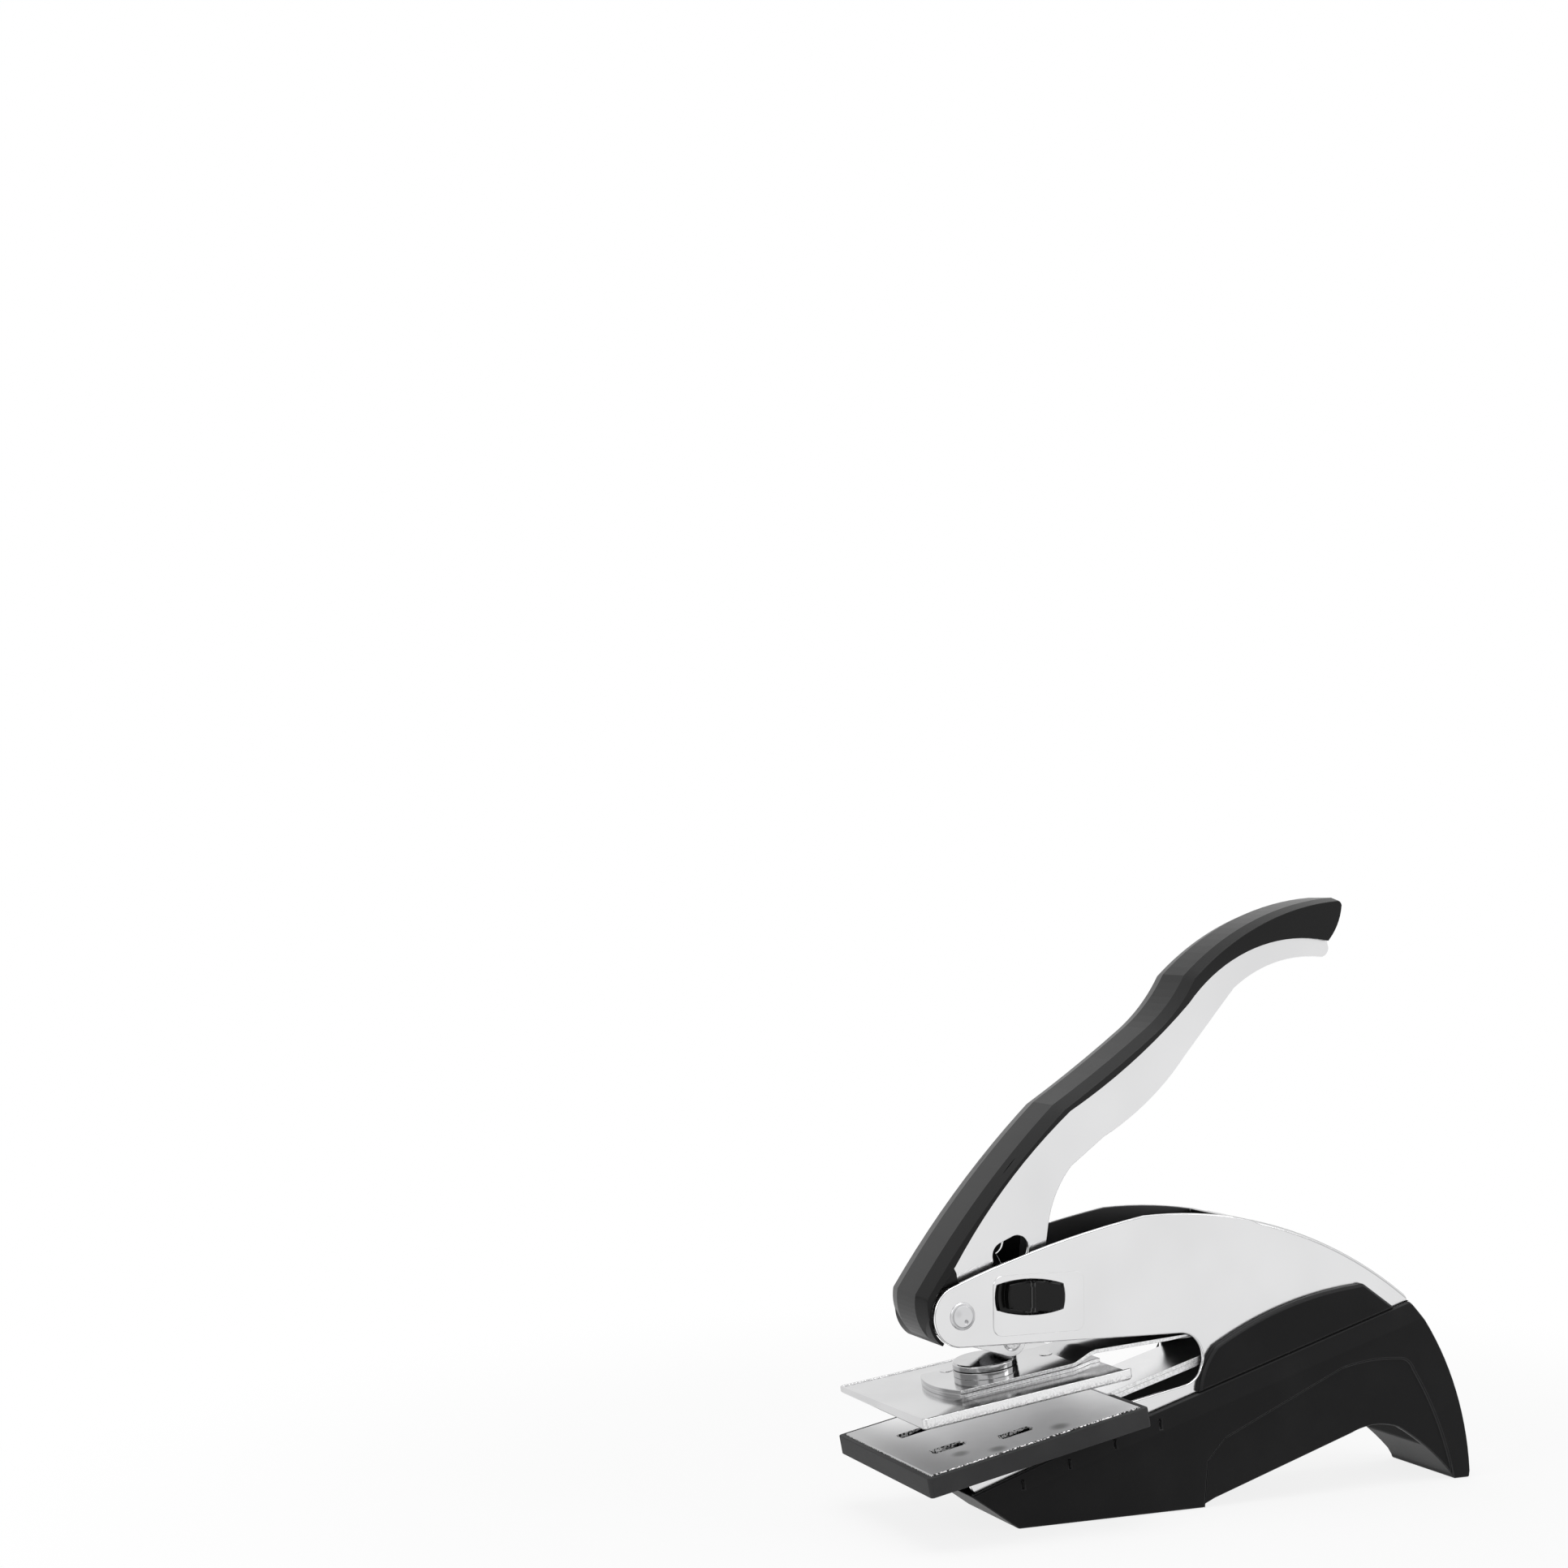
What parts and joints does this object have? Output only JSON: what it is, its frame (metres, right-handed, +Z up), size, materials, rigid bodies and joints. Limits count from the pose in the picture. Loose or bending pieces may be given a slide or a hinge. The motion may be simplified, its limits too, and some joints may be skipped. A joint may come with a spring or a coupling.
{
  "type": "seal embosser",
  "caption": "Hand-held seal embosser with a long hinged lever, a roller and puck press, two square die plates on a spring jaw, a sliding lock and a moulded shoe.",
  "frame": {"origin": "on the table under the middle of the whole embosser with the lever up, in the mid-plane between the frame walls", "axes": "+Z up, +X from the open jaws to the heel and the lever's tail, +Y across to the user's left when the jaws point forwards"},
  "size_m": [0.174, 0.0542, 0.1603],
  "materials": {
    "frame_steel": "polished plate",
    "lever_steel": "polished plate",
    "rivet_steel": "satin",
    "strip_steel": "satin",
    "die_steel": "satin",
    "puck_steel": "turned",
    "roller_steel": "hardened, dark",
    "shoe_plastic": "satin",
    "cover_plastic": "satin",
    "tray_plastic": "satin",
    "grip_plastic": "semi-gloss",
    "lock_plastic": "gloss"
  },
  "bodies": {
    "base": {"frame_body": "frame_steel", "pivot_rivet": "rivet_steel", "base_shoe": "shoe_plastic", "side_cover_right": "cover_plastic", "side_cover_left": "cover_plastic", "lower_tray": "tray_plastic", "lower_die_plate": "die_steel", "lower_arm_plate": "strip_steel", "spring_strip": "strip_steel"},
    "jaw": {"upper_die_plate": "die_steel", "backing_plate": "strip_steel", "upper_strip": "strip_steel", "puck_base": "puck_steel", "puck_cap": "puck_steel", "jaw_rivets": "rivet_steel"},
    "lever": {"lever_channel": "lever_steel", "grip": "grip_plastic", "roller_axle": "rivet_steel"},
    "roller": {"roller": "roller_steel"},
    "lock": {"lock_bar": "roller_steel", "lock_button_right": "lock_plastic", "lock_button_left": "lock_plastic"}
  },
  "joints": [
    {"name": "lever_hinge", "type": "hinge", "parent": "base", "child": "lever", "pos_m": [-0.0687, 0, 0.0542], "axis": [0, 1, 0], "range_deg": [0, 27.5], "stiffness_Nm_per_rad": 0.5, "springref_deg": -28.65},
    {"name": "jaw_flex", "type": "hinge", "parent": "base", "child": "jaw", "pos_m": [0.013, 0, 0.0451], "axis": [0, 1, 0], "range_deg": [-5.01, 0]},
    {"name": "roller_spin", "type": "hinge", "parent": "lever", "child": "roller", "pos_m": [-0.0526, 0, 0.0463], "axis": [0, 1, 0], "continuous": true},
    {"name": "lock_slide", "type": "slide", "parent": "base", "child": "lock", "axis": [1, 0, 0], "range_m": [-0.0034, 0]}
  ],
  "couplings": [
    {"joint": "jaw_flex", "follows": "lever_hinge", "ratio": -0.182}
  ]
}
